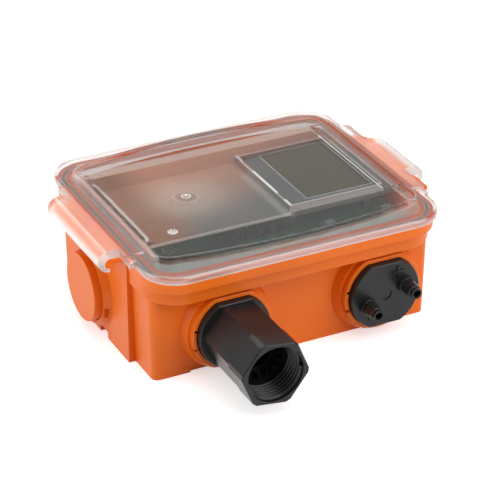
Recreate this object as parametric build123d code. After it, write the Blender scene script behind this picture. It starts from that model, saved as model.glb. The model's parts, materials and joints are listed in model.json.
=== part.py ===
from build123d import *
import math
import os

# A differential pressure sensor in a moulded wall housing, all sizes in millimetres.
# X runs along the long side, the ports face -Y, +Z is up, and the back of the housing lies on Z = 0.

# Housing body
body_length = 104.0
body_width = 75.6
body_corner_radius = 3.0
cavity_corner_radius = 2.0
body_draft_deg = 1.3
wall = 2.6
floor_thickness = 2.4
edge_break = 0.6
overlap = 0.2

# Rim bands around the top of the housing
ledge_underside = 30.2
ledge_thickness = 2.2
lower_band_reach_x = 1.0
lower_band_reach_y = 6.35
lower_band_radius = 13.0
upper_band_bottom = 35.3
upper_band_reach_x = 1.4
upper_band_reach_y = 8.4
upper_band_radius = 12.4
rim_top = 40.0
upper_band_wall = 4.9
upper_cavity_radius = 8.0

# Proud mid-sections on the two short sides
side_section_proud = 1.7
side_section_width = 45.0

# Shallow recesses in the lower edge, below the adapter and below the plug
base_recess_offset = 12.5
base_recess_width = 7.0
base_recess_depth = 1.6
base_recess_height = 2.0
side_recess_offset = 10.2
side_recess_width = 6.0
side_recess_height = 2.6

# Seal between the rim and the lid
gasket_inset_x = 2.0
gasket_inset_y = 2.5
gasket_path_radius = 10.0
gasket_groove_width = 2.0
gasket_groove_depth = 2.4
gasket_width = 1.8
gasket_height = 1.6
seal_rib_width = 1.2

# Lid
flange_overhang_x = 0.6
flange_overhang_y = 1.3
flange_corner_radius = 12.0
flange_thickness = 2.6
flange_edge_round = 1.0
side_flange_proud = 1.9
side_flange_width = 60.0
side_pad_width = 53.4
side_pad_height = 0.7
window_inset_x = 4.7
window_inset_y = 5.9
window_bulge = 5.0
window_corner_radius = 7.5
window_rise = 2.5
window_thickness = 1.8
window_wall = 2.0
window_edge_round = 0.9
end_pad_inset = 1.7
left_end_pad_length = 1.5
right_end_pad_length = 8.0
end_pad_height = 0.7

# Lid clips and the bars that they wrap around
clip_bar_stand_off = 5.2
clip_bar_drop = 1.7
clip_bar_radius = 1.8
clip_running_gap = 0.08
hinge_tip_reach = 0.1
clip_outer_radius = 3.9
clip_outer_offset_x = 0.4
clip_outer_offset_z = 1.1
clip_bar_length = 42.0
hinge_clip_length = 43.0
snap_clip_length = 27.0
snap_clear_gap = 0.1
hinge_web_drop = 0.3
hinge_web_thickness = 1.6
snap_web_drop = 1.4
snap_web_thickness = 3.0

# Round ports with twist-in inserts
port_height = 16.3
adapter_port_inset = 26.5
pressure_port_inset = 21.1
plug_port_y = 5.2
front_boss_reach = 5.6
left_boss_reach = 2.5
boss_foot_radius = 17.0
boss_neck_radius = 15.2
boss_collar_length = 2.6
boss_collar_radius = 14.5
boss_collar_flat = 12.9
socket_depth = 2.2
socket_hole_radius = 11.2
insert_disc_radius = 12.9
insert_disc_flat = 11.5
insert_disc_proud = 2.4
insert_gap = 0.25
insert_barrel_radius = 10.9
insert_inner_reach = 4.2
bayonet_lug_radius = 12.4
bayonet_lug_thickness = 1.6
bayonet_lug_width = 9.0
key_notch_heights = (2.5, -4.5)
key_notch_width = 1.1
key_notch_depth = 0.7
oring_radius = 0.95
oring_gap = 0.02
oring_groove_gap = 0.1
oring_groove_back = 3.4

# Conduit adapter
adapter_reach = 31.0
adapter_collar_length = 10.0
adapter_collar_corner_radius = 12.55
adapter_collar_corner_cut = 0.5
adapter_neck_corner_radius = 12.0
adapter_neck_corner_cut = 0.12
adapter_turn_deg = -7.5
adapter_end_chamfer = 0.35
conduit_hole_radius = 9.85
conduit_hole_depth = 12.0
wire_passage_radius = 5.6
grip_seat_radius = 9.0
grip_ring_length = 3.0
grip_rib_count = 16
grip_rib_height = 1.5
grip_rib_width = 1.0
grip_wall = 0.8
grip_ring_gap = 0.02

# Pressure port nipples
nipple_offset_x = 7.2
nipple_offset_z = 2.4
nipple_length = 8.0
nipple_base_length = 2.0
nipple_base_radius = 3.0
nipple_neck_length = 0.9
nipple_neck_radius = 2.3
nipple_barb_radius = 2.65
nipple_barb_end_radius = 2.35
nipple_tip_radius = 1.95
nipple_tip_length = 1.6
nipple_bore_radius = 1.35
nipple_break = 0.2
inner_nipple_length = 6.0
inner_nipple_radius = 2.0
disc_dimple_radius = 2.1
disc_dimple_depth = 0.4
port_sign_size = 4.2
port_sign_stroke = 0.9
port_sign_height = 0.5
port_sign_offset_x = 4.4
port_sign_offset_z = 7.9

# Blank plug
plug_disc_radius = 12.1
plug_disc_thickness = 2.7
plug_socket_radius = 12.35
plug_collar_radius = 13.4
plug_wall = 2.0
plug_web = 1.0
plug_key_width = 4.2
plug_key_depth = 1.2
plug_key_length = 1.6
plug_key_drop = -4.5

# Circuit board and what carries it
board_top = 33.0
board_thickness = 1.6
board_gap_x = 2.1
board_gap_y = 1.7
board_corner_radius = 1.5
board_wire_notch_width = 18.0
board_wire_notch_depth = 8.5
board_post_radius = 2.8
board_hole_radius = 1.5
board_post_inset_x = 12.8
board_post_inset_y = 7.5
front_left_post_y = -14.0
front_right_post_inset_x = 3.0
front_right_post_inset_y = 11.2
screw_head_radius = 2.6
screw_head_height = 1.5
screw_head_round = 0.4
screw_shank_radius = 1.2
screw_shank_gap = 0.05
screw_grip = 7.0
screw_slot_length = 3.4
screw_slot_width = 0.7
screw_slot_depth = 0.7

# Wall fixing holes through the floor
fixing_inset_x = 4.9
fixing_inset_y = 4.7
fixing_hole_radius = 2.2
fixing_access_radius = 4.3

# Inner cover
cover_top = 40.7
cover_thickness = 1.5
cover_gap_x = 0.5
cover_front = -21.5
cover_back = 31.0
cover_corner_radius = 2.5
cover_skirt_wall = 1.2
cover_foot_inset = 6.0
cover_step_gap = 2.7
cover_step_inset = 1.8
cover_step_drop = 1.5
cover_bay_depth = 2.4
cover_bay_corner_radius = 1.9
cover_bay_front = -18.8
cover_bay_back = 25.0
cover_bead_width = 1.3
cover_bead_height = 0.6
cover_bead_inset = 0.5
terminal_side_gap = 1.5
display_right_margin = 4.2
display_length = 35.4
display_half_width = 20.8
display_top = 43.0
display_window_thickness = 0.9
gate_mark_offset = 0.5
gate_dome_radius = 4.6
gate_dome_top_radius = 2.1
gate_dome_height = 0.35
gate_pip_radius = 0.9
gate_pip_height = 0.35
rosette_inset_x = 12.8
rosette_inset_y = 5.3
rosette_radius = 1.5
rosette_petal_radius = 0.36
rosette_petal_height = 0.25
rosette_petal_count = 8
ejector_spot_radius = 1.5
ejector_spot_depth = 0.15
ejector_spots = ((6.8, 11.5), (8.3, -7.5))

# Display module
carrier_gap = 0.3
carrier_bottom = 37.6
carrier_thickness = 2.0
carrier_strip_width = 6.7
carrier_strip_height = 2.4
carrier_front_strip = 2.2
carrier_leg_size = 2.4
carrier_leg_inset_x = 0.5
carrier_leg_inset_y = 3.0
glass_thickness = 2.4
connector_width = 3.0
connector_length = 26.0
connector_inset = 1.0

# Terminal blocks on the board, below the front edge of the inner cover
terminal_pitch = 5.0
terminal_depth = 8.0
terminal_height = 6.0
terminal_setback = 1.5
terminal_step = 3.0
terminal_step_drop = 1.8
terminal_block_gap = 1.0
terminal_display_gap = 0.7
supply_terminal_poles = 2
signal_terminal_poles = 3
terminal_entry_width = 3.2
terminal_entry_depth = 4.5
terminal_entry_bottom = 1.0
terminal_entry_height = 2.0
terminal_screw_radius = 1.7
terminal_screw_hole_radius = 1.85
terminal_screw_height = 2.0
terminal_screw_floor = 3.4
terminal_screw_slot_width = 0.6
terminal_screw_slot_depth = 0.6

# Zero button
button_inset_x = 24.1
button_inset_y = 5.6
switch_size = 6.0
switch_height = 3.4
button_radius = 1.7
button_height = 2.6
button_engagement = 1.0
button_top_round = 0.3
button_gap = 0.08
button_travel = 0.5
button_seat_gap = 0.15

# Small electronic parts
led_inset = 7.2
led_y = -6.0
led_radius = 1.2
led_height = 2.4
chip_inset = 15.2
chip_y = 6.0
chip_size = 9.0
chip_height = 1.5
capacitor_radius = 2.5
capacitor_height = 5.4
capacitor_top_round = 0.4
capacitor_spots = ((33.2, 20.0), (25.2, 20.0), (34.2, -4.0))

# Pressure sensor below the board
sensor_length = 20.0
sensor_depth = 16.0
sensor_bottom = 9.5
sensor_top = 24.0
sensor_setback = 15.5
bracket_wall = 2.0
bracket_arm_length = 6.0
sensor_nipple_length = 5.0
hose_wall = 1.0
hose_gap = 0.05
hose_end_gap = 0.3


def block(x0, x1, y0, y1, z0, z1):
    """A box between two values on each axis."""
    size = Box(x1 - x0, y1 - y0, z1 - z0, align=(Align.MIN, Align.MIN, Align.MIN))
    return Pos(x0, y0, z0) * size


def rounded_slab(length, width, radius, z0, z1):
    """A rounded rectangle centred on the Z axis, between two heights."""
    return Pos(0, 0, z0) * extrude(RectangleRounded(length, width, radius), z1 - z0)


def upright(x, y, radius, z0, z1):
    """A cylinder along Z between two heights."""
    solid = Cylinder(radius, z1 - z0, align=(Align.CENTER, Align.CENTER, Align.MIN))
    return Pos(x, y, z0) * solid


def seated(x, z):
    """The place of something turned to face -Y, with its own Z axis pointing out of the front face."""
    return Pos(x, 0, z) * Rot(90, 0, 0)


def rod(radius, start, end):
    """A cylinder along its own Z axis, between two distances out from the middle plane."""
    solid = Cylinder(radius, end - start, align=(Align.CENTER, Align.CENTER, Align.MIN))
    return Pos(0, 0, start) * solid


def flattened_disc(radius, flat, start, end):
    """A disc with one flat above and one below, between two distances out."""
    outline = Circle(radius) & Rectangle(2 * radius, 2 * flat)
    return Pos(0, 0, start) * extrude(outline, end - start)


def ring_along(length, width, radius, thickness, z0, z1):
    """A rounded rectangular ring of one thickness, centred on its path."""
    outer = rounded_slab(length + thickness, width + thickness, radius + thickness / 2, z0, z1)
    inner = rounded_slab(length - thickness, width - thickness, radius - thickness / 2, z0, z1)
    return outer - inner


def window_outline(inset):
    """The barrel-shaped outline of the lid's raised window, drawn in by an inset."""
    x = window_length / 2 - inset
    corner = window_corner_width / 2 - inset
    middle = window_middle_width / 2 - inset
    sides = [
        Line((x, -corner), (x, corner)),
        ThreePointArc((x, corner), (0, middle), (-x, corner)),
        Line((-x, corner), (-x, -corner)),
        ThreePointArc((-x, -corner), (0, -middle), (x, -corner)),
    ]
    face = make_face(Wire(sides))
    return fillet(face.vertices(), window_corner_radius - inset)


# Shared places worked out from the sizes above
inner_half_length = body_length / 2 - wall
inner_half_width = body_width / 2 - wall
lower_band_length = body_length + 2 * lower_band_reach_x
lower_band_width = body_width + 2 * lower_band_reach_y
upper_band_length = body_length + 2 * upper_band_reach_x
upper_band_width = body_width + 2 * upper_band_reach_y
upper_cavity_width = upper_band_width - 2 * upper_band_wall
side_section_reach = body_length / 2 + side_section_proud
flange_length = upper_band_length + 2 * flange_overhang_x
flange_width = upper_band_width + 2 * flange_overhang_y
gasket_path_length = upper_band_length - 2 * gasket_inset_x
gasket_path_width = upper_band_width - 2 * gasket_inset_y
side_flange_reach = side_section_reach + side_flange_proud
window_length = flange_length - 2 * window_inset_x
window_middle_width = flange_width - 2 * window_inset_y
window_corner_width = window_middle_width - 2 * window_bulge
end_pad_outer = window_length / 2 - end_pad_inset
clip_bar_x = side_section_reach + clip_bar_stand_off
clip_bar_z = rim_top - clip_bar_drop
hinge_web_bottom = clip_bar_z - hinge_web_drop
snap_web_bottom = clip_bar_z - snap_web_drop
front_boss_face = body_width / 2 + front_boss_reach
left_boss_face = side_section_reach + left_boss_reach
adapter_end = front_boss_face + adapter_reach
board_length = 2 * (inner_half_length - board_gap_x)
board_width = 2 * (inner_half_width - board_gap_y)
cover_half_length = window_length / 2 - window_wall - cover_gap_x
display_right = cover_half_length - display_right_margin
display_left = display_right - display_length
adapter_port_x = adapter_port_inset - body_length / 2
pressure_port_x = body_length / 2 - pressure_port_inset
ledge_top = ledge_underside + ledge_thickness
board_bottom = board_top - board_thickness
flange_top = rim_top + flange_thickness
window_top = flange_top + window_rise
end_pad_top = window_top + end_pad_height
pad_top = flange_top + side_pad_height
groove_floor = rim_top - gasket_groove_depth
gasket_top = groove_floor + gasket_height
clip_bore_radius = clip_bar_radius + clip_running_gap
insert_face = front_boss_face + insert_disc_proud
insert_back = inner_half_width - insert_inner_reach
cover_underside = cover_top - cover_thickness
cover_step_back = upper_cavity_width / 2 - cover_step_gap
terminal_front = cover_front + terminal_setback
sensor_front = sensor_setback - board_width / 2
carrier_top = carrier_bottom + carrier_thickness
carrier_left = display_left + cover_skirt_wall + carrier_gap
carrier_strip_right = carrier_left + carrier_strip_width
carrier_right = display_right - cover_skirt_wall - carrier_gap
carrier_half_width = display_half_width - cover_skirt_wall - carrier_gap
fixing_x = inner_half_length - fixing_inset_x
fixing_y = inner_half_width - fixing_inset_y
fixing_places = [(x, y) for x in (-fixing_x, fixing_x) for y in (-fixing_y, fixing_y)]
post_x = board_length / 2 - board_post_inset_x
post_y = board_width / 2 - board_post_inset_y
board_post_places = [
    (-post_x, front_left_post_y),
    (-post_x, post_y),
    (post_x, post_y),
    (board_length / 2 - front_right_post_inset_x, front_right_post_inset_y - board_width / 2),
]
board_screw_places = board_post_places[1:]
gate_mark_x = (display_left - cover_half_length) / 2 + gate_mark_offset
gate_mark_y = (cover_front + cover_back) / 2
rosette_x = rosette_inset_x - cover_half_length
rosette_y = cover_front + rosette_inset_y
signal_terminal_left = display_left - terminal_display_gap - signal_terminal_poles * terminal_pitch
supply_terminal_left = signal_terminal_left - terminal_block_gap - supply_terminal_poles * terminal_pitch
button_x = display_right - button_inset_x
button_y = button_inset_y - board_width / 2
led_x = display_left - led_inset
chip_x = display_left - chip_inset


def front_boss(x):
    """A flared boss with a flat-sided collar on the front wall."""
    foot = inner_half_width + wall / 2
    collar = front_boss_face - boss_collar_length
    flare = Cone(
        boss_foot_radius, boss_neck_radius, collar - foot,
        align=(Align.CENTER, Align.CENTER, Align.MIN),
    )
    tip = flattened_disc(boss_collar_radius, boss_collar_flat, collar - edge_break, front_boss_face)
    tip = chamfer(tip.faces().sort_by(Axis.Z)[-1].edges(), edge_break / 2)
    return seated(x, port_height) * (Pos(0, 0, foot) * flare + tip)


def front_socket(x):
    """The stepped hole of a front boss, with two bayonet gaps and a key notch in its collar."""
    recess_radius = insert_disc_radius + insert_gap
    recess = flattened_disc(
        recess_radius, insert_disc_flat + insert_gap, front_boss_face - socket_depth, front_boss_face + 1
    )
    hole = rod(socket_hole_radius, inner_half_width - 1, front_boss_face)
    gap_width = bayonet_lug_width + 2 * insert_gap
    gap = Box(2 * (bayonet_lug_radius + insert_gap), gap_width, front_boss_face)
    gap = Pos(0, 0, front_boss_face / 2) * gap & rod(bayonet_lug_radius + insert_gap, 0, 2 * front_boss_face)
    gap = gap & rod(bayonet_lug_radius + 1, inner_half_width - 1, front_boss_face)
    socket = recess + hole + gap
    for height in key_notch_heights:
        notch = Box(2 * key_notch_depth, key_notch_width, socket_depth + 1)
        socket += Pos(-recess_radius, height, front_boss_face - (socket_depth - 1) / 2) * notch
    return seated(x, port_height) * socket


def left_place():
    """The place of the left port, with its own Z axis pointing along -X."""
    return Pos(0, plug_port_y, port_height) * Rot(0, -90, 0)


def make_housing():
    body = Pos(0, 0, ledge_underside) * Rot(180, 0, 0) * extrude(
        RectangleRounded(body_length, body_width, body_corner_radius), ledge_underside, taper=body_draft_deg
    )
    lower_band = rounded_slab(
        lower_band_length, lower_band_width, lower_band_radius, ledge_underside, upper_band_bottom
    )
    lower_band = fillet(lower_band.faces().sort_by(Axis.Z)[0].edges(), edge_break)
    upper_band = rounded_slab(
        upper_band_length, upper_band_width, upper_band_radius, upper_band_bottom, rim_top
    )
    upper_band = fillet(upper_band.faces().sort_by(Axis.Z)[0].edges(), edge_break)
    half = side_section_width / 2
    sections = block(-side_section_reach, side_section_reach, -half, half, 0, rim_top)
    shell = body + lower_band + upper_band + sections
    shell += front_boss(adapter_port_x) + front_boss(pressure_port_x)
    neck = left_boss_face - side_section_reach
    flare = Cone(
        boss_neck_radius, plug_collar_radius, neck + edge_break,
        align=(Align.CENTER, Align.CENTER, Align.MIN),
    )
    shell += left_place() * (Pos(0, 0, side_section_reach - edge_break) * flare)
    shell &= block(-80, 80, -80, 80, 0, rim_top)

    hinge_bar = Pos(-clip_bar_x, 0, clip_bar_z) * Rot(90, 0, 0) * Cylinder(clip_bar_radius, clip_bar_length)
    snap_bar = Pos(clip_bar_x, 0, clip_bar_z) * Rot(90, 0, 0) * Cylinder(clip_bar_radius, clip_bar_length)
    bar_half = clip_bar_length / 2
    hinge_web = block(
        -clip_bar_x, -side_section_reach + 1, -bar_half, bar_half,
        hinge_web_bottom, hinge_web_bottom + hinge_web_thickness,
    )
    snap_web = block(
        side_section_reach - 1, clip_bar_x, -bar_half, bar_half,
        snap_web_bottom, snap_web_bottom + snap_web_thickness,
    )
    shell += hinge_bar + hinge_web + snap_bar + snap_web

    lower_cavity = rounded_slab(
        2 * inner_half_length, 2 * inner_half_width, cavity_corner_radius, floor_thickness, rim_top + 1
    )
    upper_cavity = rounded_slab(
        2 * inner_half_length, upper_cavity_width, upper_cavity_radius, ledge_top, rim_top + 1
    )
    shell -= lower_cavity + upper_cavity
    shell -= ring_along(
        gasket_path_length, gasket_path_width, gasket_path_radius, gasket_groove_width, groove_floor,
        rim_top + 1,
    )
    shell -= front_socket(adapter_port_x) + front_socket(pressure_port_x)
    socket = rod(plug_socket_radius, left_boss_face - socket_depth, left_boss_face + 1)
    socket += rod(socket_hole_radius, inner_half_length - 1, left_boss_face)
    key = Box(plug_key_width, 2 * plug_key_depth, plug_key_length)
    key = Pos(plug_key_drop, -plug_collar_radius, left_boss_face - socket_depth / 2) * key
    shell -= left_place() * (socket + key)

    for x, y in board_post_places:
        post = upright(x, y, board_post_radius, floor_thickness - overlap, board_bottom)
        shank_radius = screw_shank_radius + screw_shank_gap
        shell += post - upright(x, y, shank_radius, board_top - screw_grip - 1, board_top)
    for x, y in fixing_places:
        shell -= upright(x, y, fixing_hole_radius, -1, floor_thickness + 1)
    front = body_width / 2
    recess_left = adapter_port_x - base_recess_offset
    shell -= block(
        recess_left, recess_left + base_recess_width, -front - 1, -front + base_recess_depth,
        -1, base_recess_height,
    )
    recess_front = plug_port_y - side_recess_offset
    shell -= block(
        -side_section_reach - 1, -side_section_reach + base_recess_depth,
        recess_front, recess_front + side_recess_width, -1, side_recess_height,
    )
    return shell


def clip(side, length, mouth_reach):
    """A C-shaped clip on the lid's edge, open below its bar out to a reach from the bar's axis."""
    centre_x = side * clip_bar_x
    roll_x = side * (clip_bar_x + clip_outer_offset_x)
    roll_z = clip_bar_z + clip_outer_offset_z
    roll = Pos(roll_x, 0, roll_z) * Rot(90, 0, 0) * Cylinder(clip_outer_radius, length)
    half = length / 2
    underside = clip_bar_z + clip_bore_radius
    inner_edge = side * (side_flange_reach - 1)
    flap = block(
        min(roll_x, inner_edge), max(roll_x, inner_edge), -half, half, underside, roll_z + clip_outer_radius
    )
    bore = Pos(centre_x, 0, clip_bar_z) * Rot(90, 0, 0) * Cylinder(clip_bore_radius, length + 2)
    mouth_start = side * (clip_bar_x + mouth_reach)
    mouth_end = side * (clip_bar_x - 2 * clip_outer_radius)
    mouth = block(
        min(mouth_start, mouth_end), max(mouth_start, mouth_end), -half - 1, half + 1, 0, underside
    )
    return roll + flap - bore - mouth


def make_lid():
    flange = rounded_slab(flange_length, flange_width, flange_corner_radius, rim_top, flange_top)
    half = side_flange_width / 2
    flange += block(-side_flange_reach, side_flange_reach, -half, half, rim_top, flange_top)
    flange = fillet(flange.faces().sort_by(Axis.Z)[-1].edges(), flange_edge_round)
    half = side_pad_width / 2
    pads = block(-side_flange_reach, side_flange_reach, -half, half, rim_top, pad_top)
    window = Pos(0, 0, rim_top) * extrude(window_outline(0), window_top - rim_top)
    window = fillet(window.faces().sort_by(Axis.Z)[-1].edges(), window_edge_round)
    end_pads = block(
        end_pad_outer - right_end_pad_length, end_pad_outer, -half, half, flange_top, end_pad_top
    ) + block(
        -end_pad_outer, left_end_pad_length - end_pad_outer, -half, half, flange_top, end_pad_top
    )
    lid = flange + pads + window + end_pads
    hollow = extrude(window_outline(window_wall), window_top - window_thickness - rim_top + 1)
    lid -= Pos(0, 0, rim_top - 1) * hollow
    lid += ring_along(
        gasket_path_length, gasket_path_width, gasket_path_radius, seal_rib_width, gasket_top, rim_top
    )
    lid += clip(-1, hinge_clip_length, hinge_tip_reach)
    lid += clip(1, snap_clip_length, clip_bar_radius + snap_clear_gap)
    return lid


def make_lid_gasket():
    return ring_along(
        gasket_path_length, gasket_path_width, gasket_path_radius, gasket_width, groove_floor, gasket_top
    )


def insert_base(face):
    """The disc, barrel and bayonet lugs that the two front inserts share, up to the disc's face."""
    disc_back = front_boss_face - socket_depth
    disc = flattened_disc(insert_disc_radius, insert_disc_flat, disc_back, face)
    disc = chamfer(disc.faces().sort_by(Axis.Z)[-1].edges(), edge_break / 2)
    barrel = rod(insert_barrel_radius, insert_back, disc_back)
    lug_front = inner_half_width - insert_gap
    lug = Box(2 * bayonet_lug_radius, bayonet_lug_width, bayonet_lug_thickness)
    lug = Pos(0, 0, lug_front - bayonet_lug_thickness / 2) * lug
    lug = Rot(0, 0, 90) * (lug & rod(bayonet_lug_radius, insert_back, lug_front))
    return disc + barrel + lug - oring_groove(disc_back - oring_groove_back)


def oring_groove(middle):
    """The square groove that an O-ring lies in, around an insert's barrel."""
    half = oring_radius + oring_groove_gap
    floor_radius = socket_hole_radius - 2 * oring_radius - oring_gap
    return rod(insert_barrel_radius + 1, middle - half, middle + half) - rod(
        floor_radius, middle - half - 1, middle + half + 1
    )


def make_oring(place, disc_back):
    """A ring that just touches the wall of the socket's hole."""
    ring = Torus(socket_hole_radius - oring_radius - oring_gap, oring_radius)
    return place * (Pos(0, 0, disc_back - oring_groove_back) * ring)


def hexagon(corner_radius, corner_cut, start, end):
    """A hexagonal prism with a narrow flat along each of its long edges."""
    cut_radius = (corner_radius - corner_cut) / math.cos(math.pi / 6)
    outline = RegularPolygon(corner_radius, 6) & Rot(0, 0, 30) * RegularPolygon(cut_radius, 6)
    return Pos(0, 0, start) * Rot(0, 0, adapter_turn_deg) * extrude(outline, end - start)


def make_conduit_adapter():
    base = insert_base(insert_face)
    collar_start = adapter_end - adapter_collar_length
    neck = hexagon(adapter_neck_corner_radius, adapter_neck_corner_cut, insert_face - overlap, collar_start)
    collar = hexagon(adapter_collar_corner_radius, adapter_collar_corner_cut, collar_start, adapter_end)
    collar = chamfer(collar.faces().sort_by(Axis.Z)[0].edges(), adapter_end_chamfer)
    collar = chamfer(collar.faces().sort_by(Axis.Z)[-1].edges(), adapter_end_chamfer)
    solid = base + neck + collar
    solid -= rod(wire_passage_radius, insert_back - 1, adapter_end)
    hole_bottom = adapter_end - conduit_hole_depth
    solid -= rod(conduit_hole_radius, hole_bottom, adapter_end + 1)
    solid -= rod(grip_seat_radius, hole_bottom - grip_ring_length, hole_bottom + 1)
    return seated(adapter_port_x, port_height) * solid


def make_adapter_grip_ring():
    end = adapter_end - conduit_hole_depth
    start = end - grip_ring_length
    pocket_radius = grip_seat_radius - grip_wall
    ring = rod(grip_seat_radius - grip_ring_gap, start, end)
    ring -= rod(pocket_radius - grip_rib_height, start - 1, end + 1)
    pockets = rod(pocket_radius, start + grip_wall, end + 1)
    pockets -= rod(pocket_radius - grip_rib_height, start, end + 1)
    middle = pocket_radius - grip_rib_height / 2
    for number in range(grip_rib_count):
        rib = Box(grip_rib_height + 1, grip_rib_width, grip_ring_length + 2)
        rib = Pos(middle, 0, start + grip_ring_length / 2) * rib
        pockets -= Rot(0, 0, 360 * number / grip_rib_count) * rib
    return seated(adapter_port_x, port_height) * (ring - pockets)


def nipple():
    """A hose nipple standing on the disc, with its bore left for later."""
    neck_end = nipple_base_length + nipple_neck_length
    tip_start = nipple_length - nipple_tip_length
    profile = Polyline(
        (0, 0), (nipple_base_radius, 0), (nipple_base_radius, nipple_base_length - nipple_break),
        (nipple_base_radius - nipple_break, nipple_base_length), (nipple_neck_radius, nipple_base_length),
        (nipple_neck_radius, neck_end), (nipple_barb_radius - nipple_break, neck_end),
        (nipple_barb_radius, neck_end + nipple_break), (nipple_barb_end_radius, tip_start),
        (nipple_tip_radius, tip_start + nipple_break), (nipple_tip_radius, nipple_length),
        (0, nipple_length),
        (0, 0),
    )
    return revolve(Plane.XZ * make_face(profile), Axis.Z)


def sign(bars):
    """A raised plus or minus sign made of one or two bars."""
    mark = Box(port_sign_size, port_sign_stroke, port_sign_height * 2)
    if bars == 2:
        mark += Box(port_sign_stroke, port_sign_size, port_sign_height * 2)
    return mark


def nipple_places():
    """Where the high side and low side nipples stand on the disc, from its middle."""
    return [(nipple_offset_x, nipple_offset_z), (-nipple_offset_x, -nipple_offset_z)]


def make_port_insert():
    solid = insert_base(insert_face)
    solid -= rod(disc_dimple_radius, insert_face - disc_dimple_depth, insert_face + 1)
    for x, z in nipple_places():
        solid += Pos(x, z, insert_face) * nipple()
        inner = rod(inner_nipple_radius, insert_back - inner_nipple_length, insert_back + 0.5)
        solid += Pos(x, z, 0) * inner
    for x, z in nipple_places():
        bore_end = insert_face + nipple_length + 1
        bore = rod(nipple_bore_radius, insert_back - inner_nipple_length - 1, bore_end)
        solid -= Pos(x, z, 0) * bore
    solid += Pos(port_sign_offset_x, port_sign_offset_z, insert_face) * sign(2)
    solid += Pos(-port_sign_offset_x, -port_sign_offset_z, insert_face) * sign(1)
    return seated(pressure_port_x, port_height) * solid


def make_blank_plug():
    back = left_boss_face - socket_depth
    disc = rod(plug_disc_radius, back, left_boss_face + plug_disc_thickness)
    disc = fillet(disc.faces().sort_by(Axis.Z)[-1].edges(), edge_break / 2)
    inner_end = inner_half_length - insert_inner_reach
    barrel = rod(insert_barrel_radius, inner_end, back)
    hollow = rod(insert_barrel_radius - plug_wall, inner_end - 1, back - plug_web)
    return left_place() * (disc + barrel - hollow - oring_groove(back - oring_groove_back))


def make_circuit_board():
    board = rounded_slab(board_length, board_width, board_corner_radius, board_bottom, board_top)
    notch_left = adapter_port_x - board_wire_notch_width / 2
    front = -board_width / 2
    board -= block(
        notch_left, notch_left + board_wire_notch_width, front - 1, front + board_wire_notch_depth,
        board_bottom - 1, board_top + 1,
    )
    for x, y in board_post_places:
        board -= upright(x, y, board_hole_radius, board_bottom - 1, board_top + 1)
    for x, y in fixing_places:
        board -= upright(x, y, fixing_access_radius, board_bottom - 1, board_top + 1)
    return board


def make_board_screws():
    screws = []
    for x, y in board_screw_places:
        head = upright(x, y, screw_head_radius, board_top, board_top + screw_head_height)
        head = fillet(head.faces().sort_by(Axis.Z)[-1].edges(), screw_head_round)
        slot_z = board_top + screw_head_height
        slot = Box(screw_slot_length, screw_slot_width, 2 * screw_slot_depth)
        head -= Pos(x, y, slot_z) * (slot + Rot(0, 0, 90) * slot)
        shank = upright(x, y, screw_shank_radius, board_top - screw_grip, board_top + overlap)
        screws.append(head + shank)
    return Compound(children=screws)


def cover_outline():
    """The plate's outline, with the shallow bay in its left edge."""
    width = cover_back - cover_front
    plate = Pos(0, (cover_back + cover_front) / 2) * RectangleRounded(
        2 * cover_half_length, width, cover_corner_radius
    )
    bay_width = cover_bay_back - cover_bay_front
    bay = Pos(-cover_half_length, (cover_bay_back + cover_bay_front) / 2) * RectangleRounded(
        2 * cover_bay_depth, bay_width, cover_bay_corner_radius
    )
    return plate - bay


def cover_bead():
    """A raised bead that follows the edge of the bay."""
    bay_width = cover_bay_back - cover_bay_front
    place = Pos(-cover_half_length, (cover_bay_back + cover_bay_front) / 2)
    radius = cover_bay_corner_radius
    inner = place * RectangleRounded(2 * cover_bay_depth, bay_width, radius)
    outer = place * RectangleRounded(
        2 * (cover_bay_depth + cover_bead_width), bay_width + 2 * cover_bead_width, radius + cover_bead_width
    )
    bead = extrude(outer - inner, cover_bead_height + overlap)
    bead = Pos(0, 0, cover_top - overlap) * bead
    return bead & block(-cover_half_length + cover_bead_inset, 0, -60, 60, 0, 60)


def make_inner_cover():
    plate = Pos(0, 0, cover_underside) * extrude(cover_outline(), cover_thickness)
    left, right = display_left, display_right
    half = display_half_width
    tower = block(left, right, -half, half, cover_underside, display_top)
    wall_in = cover_skirt_wall
    well = block(
        left + wall_in, right - wall_in, -half + wall_in, half - wall_in,
        cover_underside - 1, display_top - display_window_thickness,
    )
    cover = plate + tower - well
    cover += block(
        -cover_half_length + cover_foot_inset, supply_terminal_left - terminal_side_gap,
        cover_front, cover_front + cover_skirt_wall, board_top, cover_top - overlap,
    )
    cover += block(
        -cover_half_length + cover_foot_inset, right - cover_foot_inset,
        cover_back - cover_skirt_wall, cover_back, board_top, cover_top - overlap,
    )
    step_half = cover_half_length - cover_step_inset
    step_top = cover_top - cover_step_drop
    cover += block(
        -step_half, step_half, cover_back - cover_skirt_wall, cover_step_back,
        step_top - cover_thickness, step_top,
    )
    cover += cover_bead()
    dome = Pos(gate_mark_x, gate_mark_y, cover_top - overlap) * Cone(
        gate_dome_radius, gate_dome_top_radius, gate_dome_height + overlap,
        align=(Align.CENTER, Align.CENTER, Align.MIN),
    )
    pip_top = cover_top + gate_dome_height + gate_pip_height
    cover += dome + upright(gate_mark_x, gate_mark_y, gate_pip_radius, cover_top, pip_top)
    petal = upright(
        rosette_radius, 0, rosette_petal_radius, cover_top - overlap, cover_top + rosette_petal_height
    )
    for number in range(rosette_petal_count):
        cover += Pos(rosette_x, rosette_y, 0) * Rot(0, 0, 360 * number / rosette_petal_count) * petal
    for inset, y in ejector_spots:
        spot = upright(
            inset - cover_half_length, y, ejector_spot_radius, cover_top - ejector_spot_depth, cover_top + 1
        )
        cover -= spot
    return cover


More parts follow.
